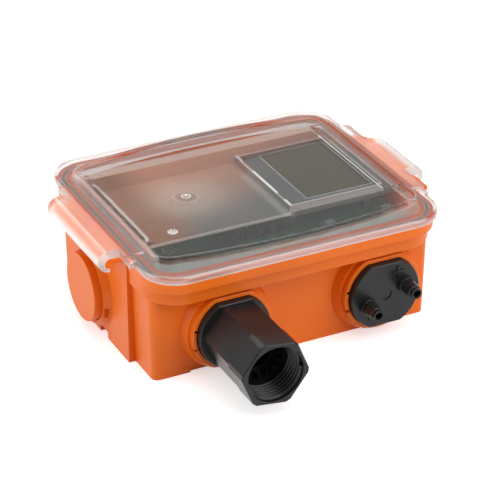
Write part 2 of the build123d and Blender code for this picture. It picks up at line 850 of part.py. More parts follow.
def make_lcd_carrier():
    half = carrier_half_width
    carrier = block(carrier_left, carrier_right, -half, half, carrier_bottom, carrier_top)
    strip_top = carrier_top + carrier_strip_height
    carrier += block(carrier_left, carrier_strip_right, -half, half, carrier_bottom, strip_top)
    carrier += block(
        carrier_left, carrier_right, -half, carrier_front_strip - half, carrier_bottom, strip_top
    )
    leg = carrier_leg_size
    inset_x, inset_y = carrier_leg_inset_x, carrier_leg_inset_y
    for x in (carrier_left + inset_x, carrier_right - leg - inset_x):
        for y in (-half + inset_y, half - leg - inset_y):
            carrier += block(x, x + leg, y, y + leg, board_top, carrier_bottom + overlap)
    return carrier


def make_lcd_glass():
    half = carrier_half_width
    front = carrier_front_strip - half
    return block(
        carrier_strip_right, carrier_right, front, half, carrier_top, carrier_top + glass_thickness
    )


def make_lcd_connector():
    x = carrier_strip_right - connector_width - connector_inset
    half = connector_length / 2
    return block(x, x + connector_width, -half, half, board_top, carrier_bottom)


def terminal_poles(left, poles):
    return [left + terminal_pitch * (number + 0.5) for number in range(poles)]


def terminal_screw_y():
    return terminal_front + terminal_step + (terminal_depth - terminal_step) / 2


def make_terminal_block(left, poles):
    right = left + terminal_pitch * poles
    back = terminal_front + terminal_depth
    top = board_top + terminal_height
    solid = block(left, right, terminal_front, back, board_top, top)
    solid -= block(
        left - 1, right + 1, terminal_front - 1, terminal_front + terminal_step,
        top - terminal_step_drop, top + 1,
    )
    entry_bottom = board_top + terminal_entry_bottom
    for x in terminal_poles(left, poles):
        half = terminal_entry_width / 2
        solid -= block(
            x - half, x + half, terminal_front - 1, terminal_front + terminal_entry_depth,
            entry_bottom, entry_bottom + terminal_entry_height,
        )
        solid -= upright(
            x, terminal_screw_y(), terminal_screw_hole_radius, board_top + terminal_screw_floor, top + 1
        )
    return solid


def make_terminal_screws():
    screws = []
    blocks = ((supply_terminal_left, supply_terminal_poles), (signal_terminal_left, signal_terminal_poles))
    bottom = board_top + terminal_screw_floor
    top = bottom + terminal_screw_height
    for left, poles in blocks:
        for x in terminal_poles(left, poles):
            screw = upright(x, terminal_screw_y(), terminal_screw_radius, bottom, top)
            slot_length = 2 * terminal_screw_radius + 1
            slot = Box(slot_length, terminal_screw_slot_width, 2 * terminal_screw_slot_depth)
            screws.append(screw - Pos(x, terminal_screw_y(), top) * slot)
    return Compound(children=screws)


def make_zero_switch():
    half = switch_size / 2
    body = block(
        button_x - half, button_x + half, button_y - half, button_y + half,
        board_top, board_top + switch_height,
    )
    well_bottom = board_top + switch_height - button_well_depth()
    return body - upright(button_x, button_y, button_radius + button_gap, well_bottom, board_top + 10)


def button_well_depth():
    """Deep enough for the cap's travel and the gap below it."""
    return button_travel + button_seat_gap + button_engagement


def make_zero_button():
    bottom = board_top + switch_height - button_engagement
    cap = upright(button_x, button_y, button_radius, bottom, bottom + button_height)
    return fillet(cap.faces().sort_by(Axis.Z)[-1].edges(), button_top_round)


def make_status_led():
    led = upright(led_x, led_y, led_radius, board_top, board_top + led_height)
    return fillet(led.faces().sort_by(Axis.Z)[-1].edges(), led_radius * 0.6)


def make_controller_chip():
    half = chip_size / 2
    return block(
        chip_x - half, chip_x + half, chip_y - half, chip_y + half, board_top, board_top + chip_height
    )


def make_capacitors():
    cans = []
    for inset, y in capacitor_spots:
        can = upright(display_left - inset, y, capacitor_radius, board_top, board_top + capacitor_height)
        cans.append(fillet(can.faces().sort_by(Axis.Z)[-1].edges(), capacitor_top_round))
    return Compound(children=cans)


def make_sensor_bracket():
    left = pressure_port_x - sensor_length / 2 - bracket_wall
    right = pressure_port_x + sensor_length / 2 + bracket_wall
    back = sensor_front + sensor_depth
    bracket = block(left, right, sensor_front, back, sensor_top, board_bottom)
    hollow = block(
        left + bracket_wall, right - bracket_wall, sensor_front - 1, back + 1,
        sensor_top + bracket_wall, board_bottom - bracket_wall,
    )
    arm_bottom = sensor_top - bracket_arm_length
    arms = block(left, left + bracket_wall, sensor_front, back, arm_bottom, sensor_top + overlap)
    arms += block(right - bracket_wall, right, sensor_front, back, arm_bottom, sensor_top + overlap)
    return bracket - hollow + arms


def make_pressure_sensor():
    left = pressure_port_x - sensor_length / 2
    body = block(
        left, left + sensor_length, sensor_front, sensor_front + sensor_depth, sensor_bottom, sensor_top
    )
    for x, z in nipple_places():
        tube = rod(inner_nipple_radius, -sensor_front - 0.5, -sensor_front + sensor_nipple_length)
        tube -= rod(nipple_bore_radius, -sensor_front - 2, -sensor_front + sensor_nipple_length + 1)
        body += seated(pressure_port_x + x, port_height + z) * tube
    return body


def make_hose(number):
    x, z = nipple_places()[number]
    start = -sensor_front + hose_end_gap
    end = insert_back - hose_end_gap
    bore = inner_nipple_radius + hose_gap
    hose = rod(bore + hose_wall, start, end) - rod(bore, start - 1, end + 1)
    return seated(pressure_port_x + x, port_height + z) * hose


def make_parts():
    disc_back = front_boss_face - socket_depth
    return {
        "housing": make_housing(),
        "lid": make_lid(),
        "lid_gasket": make_lid_gasket(),
        "conduit_adapter": make_conduit_adapter(),
        "adapter_grip_ring": make_adapter_grip_ring(),
        "adapter_oring": make_oring(seated(adapter_port_x, port_height), disc_back),
        "port_insert": make_port_insert(),
        "port_oring": make_oring(seated(pressure_port_x, port_height), disc_back),
        "blank_plug": make_blank_plug(),
        "plug_oring": make_oring(left_place(), left_boss_face - socket_depth),
        "circuit_board": make_circuit_board(),
        "board_screws": make_board_screws(),
        "inner_cover": make_inner_cover(),
        "lcd_carrier": make_lcd_carrier(),
        "lcd_glass": make_lcd_glass(),
        "lcd_connector": make_lcd_connector(),
        "terminal_block_supply": make_terminal_block(supply_terminal_left, supply_terminal_poles),
        "terminal_block_signal": make_terminal_block(signal_terminal_left, signal_terminal_poles),
        "terminal_screws": make_terminal_screws(),
        "zero_switch": make_zero_switch(),
        "zero_button": make_zero_button(),
        "status_led": make_status_led(),
        "controller_chip": make_controller_chip(),
        "capacitors": make_capacitors(),
        "sensor_bracket": make_sensor_bracket(),
        "pressure_sensor": make_pressure_sensor(),
        "hose_high": make_hose(0),
        "hose_low": make_hose(1),
    }


os.makedirs("parts", exist_ok=True)
for name, solid in make_parts().items():
    export_step(solid, f"parts/{name}.step")
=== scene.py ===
"""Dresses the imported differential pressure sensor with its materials, small pieces, stage and camera."""

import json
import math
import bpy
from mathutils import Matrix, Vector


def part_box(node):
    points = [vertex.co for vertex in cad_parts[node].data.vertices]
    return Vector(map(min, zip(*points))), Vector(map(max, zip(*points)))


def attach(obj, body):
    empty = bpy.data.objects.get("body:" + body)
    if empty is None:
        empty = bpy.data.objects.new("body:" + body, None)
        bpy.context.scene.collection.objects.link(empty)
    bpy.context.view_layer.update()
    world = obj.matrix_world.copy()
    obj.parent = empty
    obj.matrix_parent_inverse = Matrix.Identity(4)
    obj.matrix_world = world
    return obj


bl_info = {
    "name": "Differential pressure sensor",
    "version": (1, 0, 0),
    "blender": (4, 5, 0),
    "location": "3D View > Sidebar > Sensor",
    "description": "Finishes, small pieces and stage of a differential pressure sensor",
    "category": "Object",
}

from types import SimpleNamespace

import bmesh
import bpy
from mathutils import Matrix, Vector

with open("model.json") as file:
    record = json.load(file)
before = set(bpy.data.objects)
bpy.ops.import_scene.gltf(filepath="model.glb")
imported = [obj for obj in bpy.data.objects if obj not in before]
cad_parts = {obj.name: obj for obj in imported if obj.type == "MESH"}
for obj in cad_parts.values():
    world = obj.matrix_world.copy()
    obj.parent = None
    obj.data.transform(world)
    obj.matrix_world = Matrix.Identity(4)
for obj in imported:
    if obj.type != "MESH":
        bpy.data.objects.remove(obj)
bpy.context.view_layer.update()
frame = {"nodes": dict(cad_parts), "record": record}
MM = 0.001
NODES = frame["nodes"]
MOUNTS = {mount["name"]: mount for mount in frame["record"]["mounts"]}

# Places on the CAD part that no piece's box gives, in millimetres: marks and the post's ring by X and Y, the
# back of the inner cover's plate by Y, its top above the housing's highest point, the walls of its display
# window out from the display's frame, the top of the lid's flange, and a height above everything
GATE_MARK = (-19.3, 4.75)
ROSETTE = (-34.0, -16.2)
POST_RING = (-34.5, -14.0)
PLATE_BACK = 31.2
PLATE_ABOVE_HOUSING = 0.6
WINDOW_WALL_REACH = 1.5
FLANGE_TOP = 42.6
PAST_ALL = 99.0

# The lid's looks: margins of its polished pane around the inner cover, and painted shade at the foot of its
# window's back and right walls, where the glass is tinted darker
PANE_SIDE_MARGIN = 1.0
PANE_FRONT_MARGIN = 21.0
PANE_BACK_MARGIN = 3.0
PANE_ABOVE_FLANGE = 0.35
PANE_TINT = 0.92
LAMP_LIGHT_TINT = 0.97
FOOT_SHADE_TOP = 43.7
FOOT_SHADE_BACK = ((-49.6, 16.0, FLANGE_TOP), (49.6, 42.0, FOOT_SHADE_TOP))
FOOT_SHADE_RIGHT = ((44.0, -30.0, FLANGE_TOP), (49.6, 42.0, FOOT_SHADE_TOP))
FOOT_SHADE_COLOUR = (0.58, 0.54, 0.56)

# The inner cover's alpha: its plate, its display window, and how much clearer its front skirt is
PLATE_ALPHA = 0.93
WINDOW_ALPHA = 0.05
SKIRT_ALPHA_DROP = 0.7

# Places on the inner cover in millimetres, and margins that take a mask past a surface
SKIN = 0.1
MARGIN = 1.0
WINDOW_FRAME = 1.1
WINDOW_BOTTOM = 41.5
WALLS_GROWN = 0.2
WALLS_ABOVE_PLATE = 0.3
RIM_WIDTH = 0.45
RIM_HEIGHT = 0.35
EDGE_WIDTH = 0.35
EDGE_DEPTH = 1.0
BEAD_REACH = 8.5
BEAD_ABOVE_PLATE = 0.25
PETALS_ABOVE_PLATE = 0.2
SKIRT_DEPTH = 1.4
SKIRT_BELOW_PLATE = 0.9
# The box of the painted shade on the cover's left part, which fades in over its soft border
LEFT_EDGE = ((-60.0, -60.0, 0.0), (-24.0, 60.0, PAST_ALL))

# Fog on the display window's walls in millimetres: at the left wall's foot, and on the front wall
FOOT_FOG_LEFT = 4.0
FOOT_FOG_RIGHT = 2.5
FOOT_FOG_FRONT = 3.0
FOOT_FOG_BACK_SHARE = 0.6
FOOT_FOG_DOWN = 4.0
FOOT_FOG_UP = 2.0
WALL_FOG_DEPTH = 0.5
WALL_FOG_DOWN = 3.0
LEFT_FOG_REACH = 14.0
LEFT_FOG_BELOW_TOP = 0.4
FRONT_FOG_BELOW_TOP = 0.2

# How strongly each mark, painted highlight, painted shade and fog on the inner cover shows: the rim, edge and
# bead shares are painted highlights and the left edge's share is painted shade
RIM_SHARE = 0.35
EDGE_SHARE = 0.3
BEAD_SHARE = 0.5
ROSETTE_SHARE = 0.6
GATE_RING_SHARE = 0.7
LEFT_SHADE_SHARE = 0.85
HALO_SHARE = 0.75
FOOT_FOG_SHARE = 0.35
LEFT_FOG_SHARE = 0.6
FRONT_FOG_SHARE = 0.5

# Colours on the inner cover
# Painted shade: the shaded brown orange that the cover's left part darkens to
LEFT_SHADE_COLOUR = (0.17, 0.06, 0.026)
HALO_COLOUR = (0.45, 0.42, 0.40)
# Painted light: a paler colour on the plate's back step, which lies in the back wall's shadow
STEP_PAINTED_LIGHT_COLOUR = (0.52, 0.36, 0.30)
FOG_COLOUR = (0.5, 0.5, 0.5)
SKIRT_COLOUR = (0.03, 0.05, 0.035)
# Pale colour of the marks and of the painted highlights along the cover's edges and bead
HIGHLIGHT_AND_MARK_COLOUR = (0.8, 0.8, 0.79)

# The tint's slant over the inner cover: weights of X and Y in metres, and where it starts and ends
SLANT_X, SLANT_Y = 8.0, 23.0
SLANT_START, SLANT_END = -0.93, 0.22

# The range that most of a noise texture's values fall in, and the depth of a bump at full strength
NOISE_LOW, NOISE_HIGH = 0.35, 0.65
BUMP_DEPTH = 0.05 * MM

# Brightness of the board's tracks against its lacquer
TRACK_GAIN, TRACK_LIFT = 2.6, 0.01

# Brightness of the rings around the gate mark, by their share of the halo's reach
HALO_STOPS = (
    (0.016, 1.0), (0.02, 0.25), (0.03, 0.3), (0.036, 1.0), (0.048, 1.0), (0.058, 0.15),
    (0.11, 0.2), (0.14, 0.85), (0.17, 0.4), (0.28, 0.45), (0.42, 0.25), (0.6, 0.08),
)

# The conduit thread's ridge
RIDGE_FOOT_SHARE = 0.46
RIDGE_CREST_SHARE = 0.16
RIDGE_SUNK = 0.1 * MM
THREAD_STEPS = 64

# Small pieces in millimetres: the display's frame, the ridges over it, the printed ring and the chips
BEZEL_WIDTH = 0.45
BEZEL_HEIGHT = 0.06
RIDGES = ((16.2, 20.7), (-10.6, 7.8), (-20.7, -16.0))
RIDGE_WIDTH = 0.9
RIDGE_HEIGHT = 0.22
RIDGE_BEVEL = 0.12
PRINT_RADIUS = 2.5
PRINT_WIDTH = 0.4
PRINT_HEIGHT = 0.04
CHIP_LOW = (-6.0, -29.6)
CHIP_HIGH = (-4.0, -28.4)
CHIP_HEIGHT = 0.5
CHIP_BEVEL = 0.08
CHIP_OFFSETS = ((4.2, 0, 0), (8.4, 0, 0), (13.0, 2.4, 0), (30.5, 1.0, 0), (34.0, 1.0, 0))

# Lamps: place and width in metres, power in watts
LAMP_TARGET = Vector((0, -0.01, 0.02))
LAMPS = {
    "Left softbox": ((-0.85, 0.28, 0.36), 0.8, 4.6),
    "Top softbox": ((0.0, -0.15, 0.95), 1.0, 5.7),
    "Front fill": ((0.50, -0.82, 0.60), 1.0, 6.9),
    "Back softbox": ((-0.07, 0.94, 0.76), 0.22, 0.7),
}

# The stage: the floor, the world's light, and the white that the camera sees directly or through the lid
FLOOR_SIZE = 6.0
FLOOR_GLOW = 0.55
WORLD_LIGHT = 0.25
WORLD_GLOSSY_EXTRA = 0.2
WHITE = 1.0
WHITE_LID_DROP = -0.25


def box_mm(node):
    """The low and the high corner of a CAD node's box, in millimetres."""
    return [[value / MM for value in corner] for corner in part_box(node)]


# Settings

class SensorCamera(bpy.types.PropertyGroup):
    """Where the camera stands and how it looks."""

    azimuth: bpy.props.FloatProperty(
        name="Azimuth", description="Turn of the view around the vertical",
        default=math.radians(-26.7), unit="ROTATION",
    )
    elevation: bpy.props.FloatProperty(
        name="Elevation", description="Height of the view above the floor",
        default=math.radians(28.84), unit="ROTATION",
    )
    distance: bpy.props.FloatProperty(
        name="Distance", description="From the camera to the middle of the back",
        default=0.79295, unit="LENGTH",
    )
    slide_right: bpy.props.FloatProperty(
        name="Slide right", description="Sideways offset of the camera", default=0.00239, unit="LENGTH"
    )
    slide_up: bpy.props.FloatProperty(
        name="Slide up", description="Upward offset of the camera", default=0.01619, unit="LENGTH"
    )
    lens: bpy.props.FloatProperty(name="Lens", description="Focal length in millimetres", default=163.0)


class SensorColours(bpy.types.PropertyGroup):
    """Colours that a user may want to change."""

    housing: bpy.props.FloatVectorProperty(
        name="Housing", description="Colour of the housing and the plug", default=(0.82, 0.155, 0.006),
        size=3, subtype="COLOR", min=0, max=1,
    )
    fittings: bpy.props.FloatVectorProperty(
        name="Fittings", description="Colour of the adapter and the port insert",
        default=(0.016, 0.016, 0.017), size=3, subtype="COLOR", min=0, max=1,
    )
    lid: bpy.props.FloatVectorProperty(
        name="Lid", description="Tint of the clear lid", default=(0.93, 0.935, 0.915),
        size=3, subtype="COLOR", min=0, max=1,
    )
    board: bpy.props.FloatVectorProperty(
        name="Board", description="Colour of the circuit board's lacquer", default=(0.007, 0.036, 0.019),
        size=3, subtype="COLOR", min=0, max=1,
    )
    display: bpy.props.FloatVectorProperty(
        name="Display", description="Colour of the display glass at rest", default=(0.036, 0.029, 0.009),
        size=3, subtype="COLOR", min=0, max=1,
    )
    seal: bpy.props.FloatVectorProperty(
        name="Seal", description="Colour of the lid's seal and the O-rings", default=(0.42, 0.36, 0.33),
        size=3, subtype="COLOR", min=0, max=1,
    )
    cover_warm: bpy.props.FloatVectorProperty(
        name="Cover, warm end", description="Tint of the inner cover near its back left corner",
        default=(0.46, 0.18, 0.10), size=3, subtype="COLOR", min=0, max=1,
    )
    cover_cool: bpy.props.FloatVectorProperty(
        name="Cover, cool end", description="Tint of the inner cover near the display",
        default=(0.076, 0.072, 0.07), size=3, subtype="COLOR", min=0, max=1,
    )


class SensorThread(bpy.types.PropertyGroup):
    """The conduit thread inside the adapter."""

    pitch: bpy.props.FloatProperty(
        name="Pitch", description="Distance between two turns", default=1.5 * MM, unit="LENGTH"
    )
    turns: bpy.props.IntProperty(
        name="Turns", description="Number of whole turns", default=6, min=1, max=12
    )
    depth: bpy.props.FloatProperty(
        name="Depth", description="Height of the ridge above the hole's wall",
        default=0.85 * MM, unit="LENGTH",
    )
    lead_in: bpy.props.FloatProperty(
        name="Lead-in", description="Plain stretch before the first turn", default=1.7 * MM, unit="LENGTH"
    )


# Node helpers

def new_material(name):
    """A node material, with its node tree and its main shader."""
    material = bpy.data.materials.new(name)
    material.use_nodes = True
    tree = material.node_tree
    return material, tree, tree.nodes["Principled BSDF"]


def add_node(tree, kind, **values):
    """A new node with the properties given."""
    node = tree.nodes.new(kind)
    for name, value in values.items():
        setattr(node, name, value)
    return node


def put(node, **values):
    """Sets a node's inputs by name, with underscores for the spaces in a name."""
    for name, value in values.items():
        node.inputs[name.replace("_", " ")].default_value = value
    return node


def rgba(colour):
    return (colour[0], colour[1], colour[2], 1.0)


def new_group(name, inputs, outputs):
    """A shader node group with named float or colour sockets, and its input and output nodes."""
    tree = bpy.data.node_groups.new(name, "ShaderNodeTree")
    for label, kind, default in inputs:
        socket = tree.interface.new_socket(name=label, in_out="INPUT", socket_type=kind)
        socket.default_value = default
    for label, kind in outputs:
        tree.interface.new_socket(name=label, in_out="OUTPUT", socket_type=kind)
    return tree, tree.nodes.new("NodeGroupInput"), tree.nodes.new("NodeGroupOutput")


def add_group(tree, group, **values):
    """A node that uses a node group, with the inputs given."""
    node = tree.nodes.new("ShaderNodeGroup")
    node.node_tree = group
    return put(node, **values)


def math_node(tree, operation, *values):
    """A math node's result, from inputs that are sockets or plain numbers."""
    node = add_node(tree, "ShaderNodeMath", operation=operation)
    for slot, value in zip(node.inputs, values):
        if isinstance(value, (int, float)):
            slot.default_value = value
        else:
            tree.links.new(value, slot)
    return node.outputs["Value"]


def times(tree, first, second):
    return math_node(tree, "MULTIPLY", first, second)


def outside(tree, mask):
    """One where a mask is none, and none where it is one."""
    return math_node(tree, "SUBTRACT", 1.0, mask)


def largest(tree, *values):
    """The greatest of several sockets."""
    result = values[0]
    for value in values[1:]:
        result = math_node(tree, "MAXIMUM", result, value)
    return result


def mix_colours(tree, share, first, second):
    """Goes from the first colour to the second as the share goes from none to one."""
    mix = add_node(tree, "ShaderNodeMix", data_type="RGBA")
    tree.links.new(share, mix.inputs["Factor"])
    for name, colour in (("A", first), ("B", second)):
        if isinstance(colour, tuple):
            mix.inputs[name].default_value = rgba(colour)
        else:
            tree.links.new(colour, mix.inputs[name])
    return mix.outputs["Result"]


# Shader groups

def build_moulded_group():
    """Fine moulded grain, with slow patches of tone that a large moulding has."""
    tree, entry, out = new_group(
        "Moulded surface",
        [
            ("Colour", "NodeSocketColor", (0.8, 0.8, 0.8, 1)),
            ("Shade", "NodeSocketFloat", 0.9),
            ("Patch Scale", "NodeSocketFloat", 30.0),
            ("Grain Scale", "NodeSocketFloat", 2500.0),
            ("Roughness", "NodeSocketFloat", 0.4),
            ("Roughness Spread", "NodeSocketFloat", 0.1),
        ],
        [("Colour", "NodeSocketColor"), ("Roughness", "NodeSocketFloat"), ("Height", "NodeSocketFloat")],
    )
    links = tree.links
    coords = add_node(tree, "ShaderNodeTexCoord")
    patches = put(add_node(tree, "ShaderNodeTexNoise"), Detail=3.0)
    grain = put(add_node(tree, "ShaderNodeTexNoise"), Detail=2.0)
    links.new(coords.outputs["Object"], patches.inputs["Vector"])
    links.new(coords.outputs["Object"], grain.inputs["Vector"])
    links.new(entry.outputs["Patch Scale"], patches.inputs["Scale"])
    links.new(entry.outputs["Grain Scale"], grain.inputs["Scale"])
    darker = add_node(tree, "ShaderNodeMix", data_type="RGBA", blend_type="MULTIPLY")
    darker.inputs["Factor"].default_value = 1.0
    shade = add_node(tree, "ShaderNodeMapRange")
    links.new(patches.outputs["Fac"], shade.inputs["Value"])
    put(shade, From_Min=NOISE_LOW, From_Max=NOISE_HIGH, To_Max=1.0)
    links.new(entry.outputs["Shade"], shade.inputs["To Min"])
    links.new(entry.outputs["Colour"], darker.inputs["A"])
    links.new(shade.outputs["Result"], darker.inputs["B"])
    links.new(darker.outputs["Result"], out.inputs["Colour"])
    spread = add_node(tree, "ShaderNodeMath", operation="MULTIPLY_ADD")
    centred = add_node(tree, "ShaderNodeMath", operation="SUBTRACT")
    links.new(patches.outputs["Fac"], centred.inputs[0])
    centred.inputs[1].default_value = 0.5
    links.new(centred.outputs["Value"], spread.inputs[0])
    links.new(entry.outputs["Roughness Spread"], spread.inputs[1])
    links.new(entry.outputs["Roughness"], spread.inputs[2])
    links.new(spread.outputs["Value"], out.inputs["Roughness"])
    links.new(grain.outputs["Fac"], out.inputs["Height"])
    return tree


def build_box_mask_group():
    """One inside a box between two corners, none outside it, with a soft border."""
    tree, entry, out = new_group(
        "Box mask",
        [
            ("Low", "NodeSocketVector", (0, 0, 0)),
            ("High", "NodeSocketVector", (1, 1, 1)),
            ("Soft", "NodeSocketFloat", 0.1 * MM),
        ],
        [("Value", "NodeSocketFloat")],
    )
    links = tree.links
    coords = add_node(tree, "ShaderNodeTexCoord")
    above = add_node(tree, "ShaderNodeVectorMath", operation="SUBTRACT")
    links.new(coords.outputs["Object"], above.inputs[0])
    links.new(entry.outputs["Low"], above.inputs[1])
    below = add_node(tree, "ShaderNodeVectorMath", operation="SUBTRACT")
    links.new(entry.outputs["High"], below.inputs[0])
    links.new(coords.outputs["Object"], below.inputs[1])
    least = add_node(tree, "ShaderNodeVectorMath", operation="MINIMUM")
    links.new(above.outputs["Vector"], least.inputs[0])
    links.new(below.outputs["Vector"], least.inputs[1])
    split = add_node(tree, "ShaderNodeSeparateXYZ")
    links.new(least.outputs["Vector"], split.inputs["Vector"])
    pair = add_node(tree, "ShaderNodeMath", operation="MINIMUM")
    links.new(split.outputs["X"], pair.inputs[0])
    links.new(split.outputs["Y"], pair.inputs[1])
    depth = add_node(tree, "ShaderNodeMath", operation="MINIMUM")
    links.new(pair.outputs["Value"], depth.inputs[0])
    links.new(split.outputs["Z"], depth.inputs[1])
    fade = add_node(tree, "ShaderNodeMapRange")
    links.new(depth.outputs["Value"], fade.inputs["Value"])
    links.new(entry.outputs["Soft"], fade.inputs["From Max"])
    links.new(fade.outputs["Result"], out.inputs["Value"])
    return tree


def build_halo_group():
    """Stress rings around a moulding's gate mark, broken up by a fine speckle."""
    tree, entry, out = new_group(
        "Gate halo",
        [
            ("Centre", "NodeSocketVector", (0, 0, 0)),
            ("Reach", "NodeSocketFloat", 30 * MM),
            ("Speckle Scale", "NodeSocketFloat", 1600.0),
        ],
        [("Value", "NodeSocketFloat")],
    )
    links = tree.links
    coords = add_node(tree, "ShaderNodeTexCoord")
    away = add_node(tree, "ShaderNodeVectorMath", operation="SUBTRACT")
    links.new(coords.outputs["Object"], away.inputs[0])
    links.new(entry.outputs["Centre"], away.inputs[1])
    level = add_node(tree, "ShaderNodeVectorMath", operation="MULTIPLY")
    level.inputs[1].default_value = (1, 1, 0)
    links.new(away.outputs["Vector"], level.inputs[0])
    reach = add_node(tree, "ShaderNodeVectorMath", operation="LENGTH")
    links.new(level.outputs["Vector"], reach.inputs[0])
    share = add_node(tree, "ShaderNodeMath", operation="DIVIDE")
    links.new(reach.outputs["Value"], share.inputs[0])
    links.new(entry.outputs["Reach"], share.inputs[1])
    ring = add_node(tree, "ShaderNodeValToRGB")
    links.new(share.outputs["Value"], ring.inputs["Fac"])
    stops = ring.color_ramp.elements
    stops[0].position, stops[0].color = 0.0, (1, 1, 1, 1)
    stops[1].position, stops[1].color = 1.0, (0, 0, 0, 1)
    for position, value in HALO_STOPS:
        stops.new(position).color = (value, value, value, 1)
    speckle = put(add_node(tree, "ShaderNodeTexNoise"), Detail=2.0)
    links.new(coords.outputs["Object"], speckle.inputs["Vector"])
    links.new(entry.outputs["Speckle Scale"], speckle.inputs["Scale"])
    grit = add_node(tree, "ShaderNodeMapRange")
    put(grit, From_Min=NOISE_LOW, From_Max=NOISE_HIGH, To_Min=0.55, To_Max=1.25)
    links.new(speckle.outputs["Fac"], grit.inputs["Value"])
    strength = add_node(tree, "ShaderNodeMath", operation="MULTIPLY")
    links.new(ring.outputs["Color"], strength.inputs[0])
    links.new(grit.outputs["Result"], strength.inputs[1])
    links.new(strength.outputs["Value"], out.inputs["Value"])
    return tree


def box_mask(tree, low, high, soft=0.1):
    """A mask between two corners given in millimetres."""
    return add_group(
        tree, bpy.data.node_groups["Box mask"], Low=[value * MM for value in low],
        High=[value * MM for value in high], Soft=soft * MM,
    ).outputs["Value"]


def spot_mask(tree, centre, radius, bottom):
    """A round mask about an upright axis above one height, in millimetres."""
    coords = add_node(tree, "ShaderNodeTexCoord")
    away = add_node(tree, "ShaderNodeVectorMath", operation="SUBTRACT")
    tree.links.new(coords.outputs["Object"], away.inputs[0])
    away.inputs[1].default_value = (centre[0] * MM, centre[1] * MM, bottom * MM)
    split = add_node(tree, "ShaderNodeSeparateXYZ")
    tree.links.new(away.outputs["Vector"], split.inputs["Vector"])
    level = add_node(tree, "ShaderNodeVectorMath", operation="MULTIPLY")
    level.inputs[1].default_value = (1, 1, 0)
    tree.links.new(away.outputs["Vector"], level.inputs[0])
    reach = add_node(tree, "ShaderNodeVectorMath", operation="LENGTH")
    tree.links.new(level.outputs["Vector"], reach.inputs[0])
    near = math_node(tree, "LESS_THAN", reach.outputs["Value"], radius * MM)
    return times(tree, near, math_node(tree, "GREATER_THAN", split.outputs["Z"], 0.0))


# Materials

def moulded_material(
    name, colour, shade=0.9, roughness=0.4, spread=0.1, grain=2500.0, bump=0.1, patch=30.0, specular=0.5,
    coat=0.0,
):
    """A moulded plastic or rubber with grain in its surface."""
    material, tree, shader = new_material(name)
    put(shader, Specular_IOR_Level=specular, Coat_Weight=coat, Coat_Roughness=0.3)
    surface = add_group(
        tree, bpy.data.node_groups["Moulded surface"], Colour=rgba(colour), Shade=shade, Patch_Scale=patch,
        Grain_Scale=grain, Roughness=roughness, Roughness_Spread=spread,
    )
    tree.links.new(surface.outputs["Colour"], shader.inputs["Base Color"])
    tree.links.new(surface.outputs["Roughness"], shader.inputs["Roughness"])
    if bump:
        relief = put(add_node(tree, "ShaderNodeBump"), Strength=bump, Distance=BUMP_DEPTH)
        tree.links.new(surface.outputs["Height"], relief.inputs["Height"])
        tree.links.new(relief.outputs["Normal"], shader.inputs["Normal"])
    return material


def metal_material(name, colour, roughness):
    """Turned or drawn metal with fine streaks."""
    material, tree, shader = new_material(name)
    surface = add_group(
        tree, bpy.data.node_groups["Moulded surface"], Colour=rgba(colour), Shade=0.8, Patch_Scale=900.0,
        Grain_Scale=6000.0, Roughness=roughness, Roughness_Spread=0.2,
    )
    put(shader, Metallic=1.0)
    tree.links.new(surface.outputs["Colour"], shader.inputs["Base Color"])
    tree.links.new(surface.outputs["Roughness"], shader.inputs["Roughness"])
    return material


def pane_mask(tree):
    """The polished top of the lid's window over the inner cover."""
    low, high = box_mm("inner_cover")
    near = (low[0] - PANE_SIDE_MARGIN, low[1] - PANE_FRONT_MARGIN, FLANGE_TOP + PANE_ABOVE_FLANGE)
    far = (high[0] + PANE_SIDE_MARGIN, high[1] + PANE_BACK_MARGIN, PAST_ALL)
    return box_mask(tree, near, far, soft=0.5)


def clear_material(name, colour, edges, ior):
    """Clear plastic that lets lamps through, polished on its raised window and rougher around it."""
    material, tree, shader = new_material(name)
    put(shader, Transmission_Weight=0.994, IOR=ior, Coat_Roughness=0.3, Coat_IOR=2.25)
    pane = pane_mask(tree)
    around = outside(tree, pane)
    tree.links.new(times(tree, around, edges), shader.inputs["Roughness"])
    tree.links.new(around, shader.inputs["Coat Weight"])
    tint = mix_colours(tree, pane, tuple(colour), tuple(value * PANE_TINT for value in colour))
    # Painted shade: the glass is tinted darker along the foot of the window's back and right walls
    foot = largest(tree, box_mask(tree, *FOOT_SHADE_BACK, soft=0.15), box_mask(tree, *FOOT_SHADE_RIGHT, soft=0.15))
    tree.links.new(mix_colours(tree, foot, tint, FOOT_SHADE_COLOUR), shader.inputs["Base Color"])
    path = add_node(tree, "ShaderNodeLightPath")
    passed = rgba([value * LAMP_LIGHT_TINT for value in colour])
    clear = put(add_node(tree, "ShaderNodeBsdfTransparent"), Color=passed)
    mix = add_node(tree, "ShaderNodeMixShader")
    tree.links.new(path.outputs["Is Shadow Ray"], mix.inputs["Fac"])
    tree.links.new(shader.outputs["BSDF"], mix.inputs[1])
    tree.links.new(clear.outputs["BSDF"], mix.inputs[2])
    tree.links.new(mix.outputs["Shader"], tree.nodes["Material Output"].inputs["Surface"])
    return material


